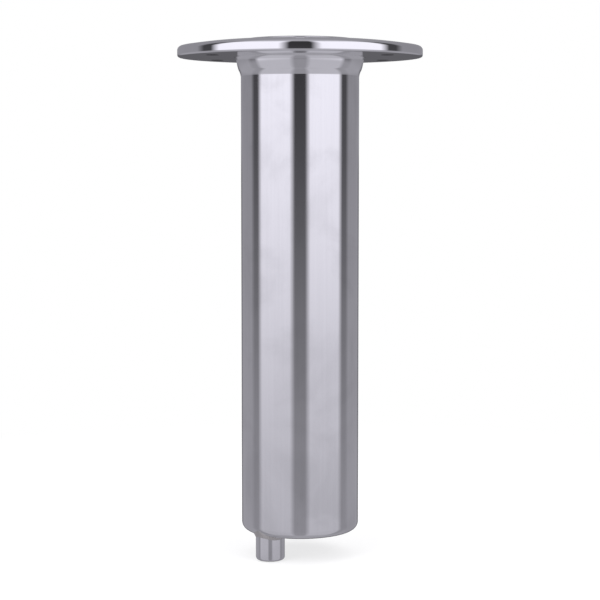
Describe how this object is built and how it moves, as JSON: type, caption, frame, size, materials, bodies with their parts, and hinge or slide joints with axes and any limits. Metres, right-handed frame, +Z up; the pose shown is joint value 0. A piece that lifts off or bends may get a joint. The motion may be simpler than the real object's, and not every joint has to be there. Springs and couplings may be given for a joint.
{
  "type": "retractable bollard",
  "caption": "Flush-mounted retractable bollard: a steel post with a low domed head slides in a drained round housing tube under a round screw-down flange and locks with a turn.",
  "frame": {"origin": "on the housing's axis, in the plane of the flange's underside, which is the deck's surface", "axes": "+Z up along the housing's axis, the way the post rises; the drain spigot lies towards -X and -Y"},
  "size_m": [0.1248, 0.1248, 0.2661],
  "materials": {
    "mirror_steel": "mirror-polished stainless steel",
    "tube_steel": "polished stainless tube with fine drawn lines",
    "machined_steel": "machined stainless steel",
    "spring_wire": "drawn spring wire",
    "acetal": "natural white acetal",
    "seal_rubber": "black nitrile rubber"
  },
  "bodies": {
    "housing": {"deck_flange": "mirror_steel", "neck_collar": "mirror_steel", "housing_tube": "tube_steel", "base_cap": "tube_steel", "drain_nipple": "tube_steel", "guide_bush": "acetal", "wiper_seal": "seal_rubber", "stop_buffer": "seal_rubber", "track_sleeve": "machined_steel", "sleeve_dowels": "machined_steel", "spring_seat": "acetal", "seat_screw": "machined_steel", "balance_spring": "spring_wire"},
    "carriage": {"spring_cup": "machined_steel", "thrust_washer": "acetal"},
    "post": {"cup_circlip": "machined_steel", "foot_block": "machined_steel", "friction_ring": "seal_rubber", "wear_ring": "acetal", "lock_pins": "machined_steel", "post_tube": "mirror_steel", "head_cap": "mirror_steel", "head_seal": "seal_rubber", "tie_rod": "machined_steel", "tie_washer": "machined_steel", "tie_nut": "machined_steel", "ring_pin": "mirror_steel"},
    "handle": {"lift_ring": "mirror_steel"}
  },
  "joints": [
    {"name": "post_slide", "type": "slide", "parent": "housing", "child": "carriage", "axis": [0, 0, 1], "range_m": [0, 0.11435], "stiffness_N_per_m": 70, "springref_m": 0.13, "deforming": ["balance_spring"]},
    {"name": "post_turn", "type": "hinge", "parent": "carriage", "child": "post", "pos_m": [0, 0, 0], "axis": [0, 0, 1], "range_deg": [0, 60]},
    {"name": "handle_fold", "type": "hinge", "parent": "post", "child": "handle", "pos_m": [0, 0.009, 0.0074], "axis": [-1, 0, 0], "range_deg": [0, 100]}
  ]
}
